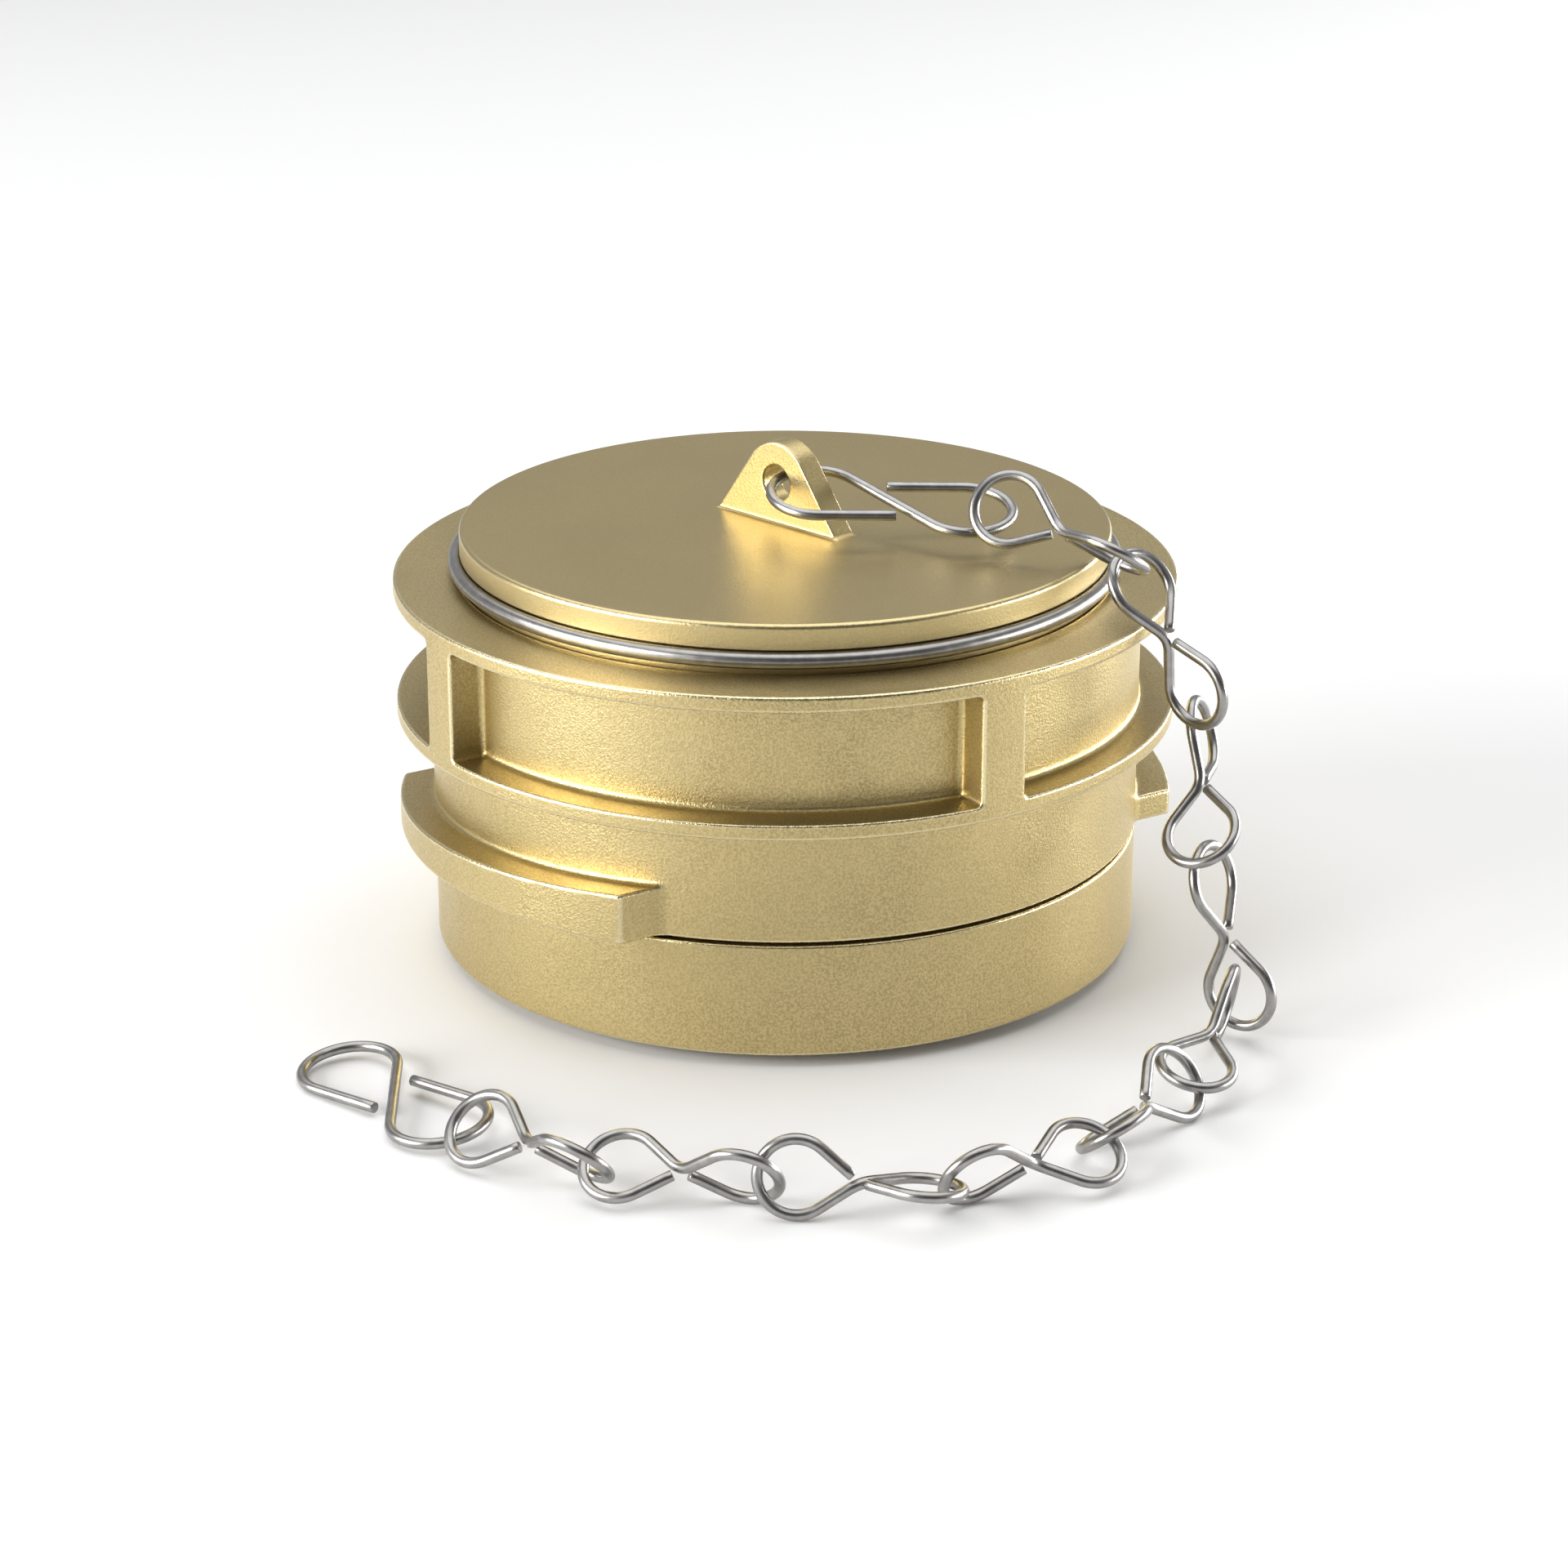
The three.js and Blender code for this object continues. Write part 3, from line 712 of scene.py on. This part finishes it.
# ---- pieces -----------------------------------------------------------------------------
def put(obj, body, node, material):
    obj.data.materials.append(material)
    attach(obj, body)
    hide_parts(node)


cast_brass = brass("brass", CAP_RELIEF, CAP_TOP_SHARE)
ring_brass = brass("brass_ring", RING_RELIEF, 1)
wire_steel = steel("steel_wire")
chain_steel = steel("chain_wire")
put(cap_body(), "cap", "cap_body", cast_brass)
put(face_seal(), "cap", "face_seal", rubber("rubber"))
put(snap_ring(), "cap", "snap_ring", wire_steel)
put(lug_ring(), "lug_ring", "lug_ring", ring_brass)
for piece in CHAIN_AT:
    put(chain_piece(piece), piece, piece, chain_steel)


# ---- studio -----------------------------------------------------------------------------
MIDDLE = Vector((0, 0, 0.04))  # what the lights point at
LIGHTS = {  # azimuth and height in degrees, distance, (width, height), power in watts
    "left": (-112, 16, 1.5, (1.1, 0.7), 35),
    "right": (62, 5, 1.3, (1.7, 0.22), 26),
    "above": (134, 80, 1.7, (2.6, 2.6), 36),
}
FLOOR_SIZE = 8

# The sky gets brighter in the direction SKY_TOWARDS.
SKY_COLOUR = (0.97, 0.98, 1)
SKY_TOWARDS = (-0.69, 0.72, 0)
SKY_REACH = (-0.6, 0.7)  # cosines of the angle to it at which the change begins and ends
SKY_STRENGTH = (0.08, 0.39)

# The photograph's viewing angle.
CAMERA_AT = Vector((0.5051, -0.5231, 0.3097))
CAMERA_AIM = Vector((0, 0, 0.0290))
LENS = 92.63
SENSOR_WIDTH = 36
SHIFT_X = -0.0007
NEAREST = 0.05


def aim(obj, at, towards):
    """Put a light or a camera somewhere, looking at a point."""
    obj.location = at
    obj.rotation_euler = (towards - at).to_track_quat("-Z", "Y").to_euler()
    bpy.context.scene.collection.objects.link(obj)


def lights():
    for name, (azimuth, height, away, size, power) in LIGHTS.items():
        azimuth, height = math.radians(azimuth), math.radians(height)
        flat = math.cos(height)
        out = Vector((flat * math.cos(azimuth), flat * math.sin(azimuth), math.sin(height)))
        data = bpy.data.lights.new(name, "AREA")
        data.shape = "RECTANGLE"
        data.size, data.size_y = size
        data.energy = power
        aim(bpy.data.objects.new(name, data), MIDDLE + away * out, MIDDLE)


def pale_floor():
    bpy.ops.mesh.primitive_plane_add(size=FLOOR_SIZE)
    floor = bpy.context.active_object
    floor.name = "floor"
    n = Nodes("floor")
    n.join(n.blend(n.noise(FLOOR_CLOUD), FLOOR_DARK, FLOOR_LIGHT), n.shader.inputs["Base Color"])
    n.shader.inputs["Roughness"].default_value = FLOOR_ROUGH
    floor.data.materials.append(n.material)


def sky():
    world = bpy.data.worlds.new("studio")
    bpy.context.scene.world = world
    world.use_nodes = True
    tree = world.node_tree
    across = tree.nodes.new("ShaderNodeVectorMath")
    across.operation = "DOT_PRODUCT"
    across.inputs[1].default_value = SKY_TOWARDS
    tree.links.new(tree.nodes.new("ShaderNodeTexCoord").outputs["Generated"], across.inputs[0])
    shade = tree.nodes.new("ShaderNodeMapRange")
    numbers = (*SKY_REACH, *SKY_STRENGTH)
    for name, number in zip(("From Min", "From Max", "To Min", "To Max"), numbers):
        shade.inputs[name].default_value = number
    tree.links.new(across.outputs["Value"], shade.inputs["Value"])
    tree.links.new(shade.outputs["Result"], tree.nodes["Background"].inputs["Strength"])
    tree.nodes["Background"].inputs["Color"].default_value = (*SKY_COLOUR, 1)


def camera():
    data = bpy.data.cameras.new("camera")
    data.sensor_width = SENSOR_WIDTH
    data.lens = LENS
    data.shift_x = SHIFT_X
    data.clip_start = NEAREST
    view = bpy.data.objects.new("camera", data)
    aim(view, CAMERA_AT, CAMERA_AIM)
    bpy.context.scene.camera = view


bpy.context.scene.view_settings.view_transform = "Standard"
pale_floor()
sky()
lights()
camera()
